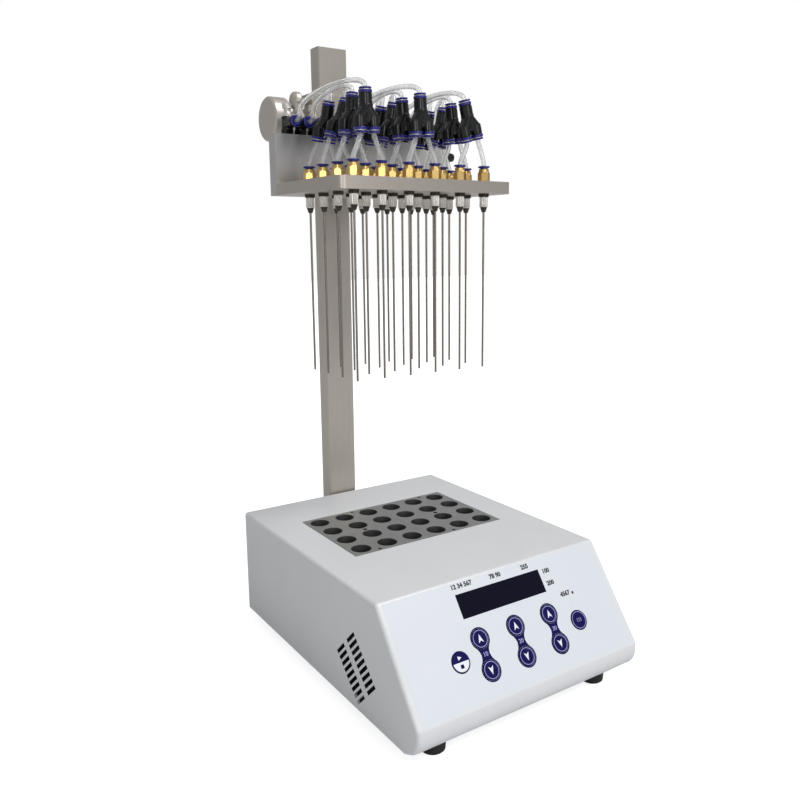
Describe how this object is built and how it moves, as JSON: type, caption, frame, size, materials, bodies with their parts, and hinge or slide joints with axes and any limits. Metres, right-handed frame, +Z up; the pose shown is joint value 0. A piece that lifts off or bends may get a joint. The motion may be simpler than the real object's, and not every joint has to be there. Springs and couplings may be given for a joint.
{
  "type": "nitrogen sample evaporator",
  "caption": "Bench sample evaporator: a heated block of tube wells with a sloped keypad, under a gas head of needles and flow valves that a rack and pinion lifts on a rear column.",
  "frame": {"origin": "on the bench under the middle of the whole object", "axes": "+Z up, +X to the right of the front, +Y to the back, where the column stands"},
  "size_m": [0.216, 0.3375, 0.5315],
  "materials": {
    "housing_plastic": "fine satin moulding",
    "plated_steel": "zinc plated",
    "foot_rubber": "matt",
    "keypad_film": "printed polyester film",
    "display_dark": "clear tinted window over a dark display",
    "board_green": "solder mask",
    "block_aluminium": "bead blasted",
    "heater_silicone": "silicone",
    "insulation_foam": "rigid insulation",
    "inlet_black": "moulded",
    "key_navy": "printed key cap",
    "column_aluminium": "anodised",
    "head_aluminium": "anodised",
    "pad_white": "low friction",
    "gear_steel": "machined",
    "fitting_black": "moulded",
    "fitting_brass": "nickel-free brass",
    "nut_dark": "oxidised",
    "hub_chrome": "polished",
    "needle_steel": "drawn tube",
    "ring_blue": "moulded",
    "tube_clear": "clear tubing",
    "knob_grey": "anodised",
    "knob_nickel": "nickel plated"
  },
  "bodies": {
    "base": {"housing_shell": "housing_plastic", "base_plate": "plated_steel", "rubber_feet": "foot_rubber", "case_screws": "plated_steel", "keypad_overlay": "keypad_film", "display_window": "display_dark", "control_board": "board_green", "power_supply": "board_green", "heating_block_left": "block_aluminium", "heating_block_right": "block_aluminium", "heater_mat": "heater_silicone", "insulation_tray": "insulation_foam", "temperature_probes": "plated_steel", "power_inlet": "inlet_black", "inlet_pins": "plated_steel", "column": "column_aluminium", "column_bracket": "head_aluminium", "bracket_screws": "plated_steel", "column_rack": "gear_steel"},
    "head": {"carriage": "head_aluminium", "glide_pads": "pad_white", "needle_shelf": "head_aluminium", "manifold": "head_aluminium", "gas_inlet": "fitting_black", "head_screws": "plated_steel", "brass_fittings": "fitting_brass", "hub_nuts": "nut_dark", "needle_hubs": "hub_chrome", "needles": "needle_steel", "y_unions": "fitting_black", "release_rings": "ring_blue", "branch_tubes": "tube_clear", "feed_tubes": "tube_clear", "valve_bodies": "fitting_black"},
    "lift_knob": {"lift_knob": "knob_grey", "pinion_shaft": "gear_steel"},
    "lock_knob": {"lock_knob": "knob_grey"},
    "fuse_drawer": {"fuse_drawer": "inlet_black"},
    "power_rocker": {"power_rocker": "inlet_black"},
    "key_up_1": {"key_up_1": "key_navy"},
    "key_down_1": {"key_down_1": "key_navy"},
    "key_up_2": {"key_up_2": "key_navy"},
    "key_down_2": {"key_down_2": "key_navy"},
    "key_up_3": {"key_up_3": "key_navy"},
    "key_down_3": {"key_down_3": "key_navy"},
    "key_start": {"key_start": "key_navy"},
    "key_menu": {"key_menu": "key_navy"},
    "valve_knob_1": {"valve_knob_1": "knob_nickel"},
    "valve_knob_2": {"valve_knob_2": "knob_nickel"},
    "valve_knob_3": {"valve_knob_3": "knob_nickel"},
    "valve_knob_4": {"valve_knob_4": "knob_nickel"},
    "valve_knob_5": {"valve_knob_5": "knob_nickel"},
    "valve_knob_6": {"valve_knob_6": "knob_nickel"},
    "valve_knob_7": {"valve_knob_7": "knob_nickel"},
    "valve_knob_8": {"valve_knob_8": "knob_nickel"},
    "valve_knob_9": {"valve_knob_9": "knob_nickel"},
    "valve_knob_10": {"valve_knob_10": "knob_nickel"},
    "valve_knob_11": {"valve_knob_11": "knob_nickel"},
    "valve_knob_12": {"valve_knob_12": "knob_nickel"}
  },
  "joints": [
    {"name": "head_slide", "type": "slide", "parent": "base", "child": "head", "axis": [0, 0, 1], "range_m": [-0.17, 0.04]},
    {"name": "lift_knob_turn", "type": "hinge", "parent": "head", "child": "lift_knob", "pos_m": [0, 0.14875, 0.4674], "axis": [1, 0, 0], "range_deg": [-975, 230]},
    {"name": "lock_knob_turn", "type": "hinge", "parent": "head", "child": "lock_knob", "pos_m": [-0.035, 0.13175, 0.483], "axis": [1, 0, 0], "range_deg": [0, 270]},
    {"name": "fuse_drawer_slide", "type": "slide", "parent": "base", "child": "fuse_drawer", "axis": [0, 1, 0], "range_m": [0, 0.02]},
    {"name": "power_rocker_turn", "type": "hinge", "parent": "base", "child": "power_rocker", "pos_m": [-0.064, 0.12175, 0.072], "axis": [1, 0, 0], "range_deg": [-16, 0]},
    {"name": "key_up_1_press", "type": "slide", "parent": "base", "child": "key_up_1", "axis": [0, -0.8068, 0.5908], "range_m": [-0.0005, 0], "stiffness_N_per_m": 400, "springref_m": 0.0015},
    {"name": "key_down_1_press", "type": "slide", "parent": "base", "child": "key_down_1", "axis": [0, -0.8068, 0.5908], "range_m": [-0.0005, 0], "stiffness_N_per_m": 400, "springref_m": 0.0015},
    {"name": "key_up_2_press", "type": "slide", "parent": "base", "child": "key_up_2", "axis": [0, -0.8068, 0.5908], "range_m": [-0.0005, 0], "stiffness_N_per_m": 400, "springref_m": 0.0015},
    {"name": "key_down_2_press", "type": "slide", "parent": "base", "child": "key_down_2", "axis": [0, -0.8068, 0.5908], "range_m": [-0.0005, 0], "stiffness_N_per_m": 400, "springref_m": 0.0015},
    {"name": "key_up_3_press", "type": "slide", "parent": "base", "child": "key_up_3", "axis": [0, -0.8068, 0.5908], "range_m": [-0.0005, 0], "stiffness_N_per_m": 400, "springref_m": 0.0015},
    {"name": "key_down_3_press", "type": "slide", "parent": "base", "child": "key_down_3", "axis": [0, -0.8068, 0.5908], "range_m": [-0.0005, 0], "stiffness_N_per_m": 400, "springref_m": 0.0015},
    {"name": "key_start_press", "type": "slide", "parent": "base", "child": "key_start", "axis": [0, -0.8068, 0.5908], "range_m": [-0.0005, 0], "stiffness_N_per_m": 400, "springref_m": 0.0015},
    {"name": "key_menu_press", "type": "slide", "parent": "base", "child": "key_menu", "axis": [0, -0.8068, 0.5908], "range_m": [-0.0005, 0], "stiffness_N_per_m": 400, "springref_m": 0.0015},
    {"name": "valve_knob_1_turn", "type": "hinge", "parent": "head", "child": "valve_knob_1", "pos_m": [-0.06782, 0.08235, 0.4618], "axis": [0, 0, 1], "range_deg": [-1080, 1080]},
    {"name": "valve_knob_2_turn", "type": "hinge", "parent": "head", "child": "valve_knob_2", "pos_m": [-0.05548, 0.08235, 0.4618], "axis": [0, 0, 1], "range_deg": [-1080, 1080]},
    {"name": "valve_knob_3_turn", "type": "hinge", "parent": "head", "child": "valve_knob_3", "pos_m": [-0.04315, 0.08235, 0.4618], "axis": [0, 0, 1], "range_deg": [-1080, 1080]},
    {"name": "valve_knob_4_turn", "type": "hinge", "parent": "head", "child": "valve_knob_4", "pos_m": [-0.03083, 0.08235, 0.4618], "axis": [0, 0, 1], "range_deg": [-1080, 1080]},
    {"name": "valve_knob_5_turn", "type": "hinge", "parent": "head", "child": "valve_knob_5", "pos_m": [-0.0185, 0.08235, 0.4618], "axis": [0, 0, 1], "range_deg": [-1080, 1080]},
    {"name": "valve_knob_6_turn", "type": "hinge", "parent": "head", "child": "valve_knob_6", "pos_m": [-0.00617, 0.08235, 0.4618], "axis": [0, 0, 1], "range_deg": [-1080, 1080]},
    {"name": "valve_knob_7_turn", "type": "hinge", "parent": "head", "child": "valve_knob_7", "pos_m": [0.00617, 0.08235, 0.4618], "axis": [0, 0, 1], "range_deg": [-1080, 1080]},
    {"name": "valve_knob_8_turn", "type": "hinge", "parent": "head", "child": "valve_knob_8", "pos_m": [0.0185, 0.08235, 0.4618], "axis": [0, 0, 1], "range_deg": [-1080, 1080]},
    {"name": "valve_knob_9_turn", "type": "hinge", "parent": "head", "child": "valve_knob_9", "pos_m": [0.03083, 0.08235, 0.4618], "axis": [0, 0, 1], "range_deg": [-1080, 1080]},
    {"name": "valve_knob_10_turn", "type": "hinge", "parent": "head", "child": "valve_knob_10", "pos_m": [0.04315, 0.08235, 0.4618], "axis": [0, 0, 1], "range_deg": [-1080, 1080]},
    {"name": "valve_knob_11_turn", "type": "hinge", "parent": "head", "child": "valve_knob_11", "pos_m": [0.05548, 0.08235, 0.4618], "axis": [0, 0, 1], "range_deg": [-1080, 1080]},
    {"name": "valve_knob_12_turn", "type": "hinge", "parent": "head", "child": "valve_knob_12", "pos_m": [0.06782, 0.08235, 0.4618], "axis": [0, 0, 1], "range_deg": [-1080, 1080]}
  ],
  "couplings": [
    {"joint": "lift_knob_turn", "follows": "head_slide", "rad_per_m": 100}
  ]
}
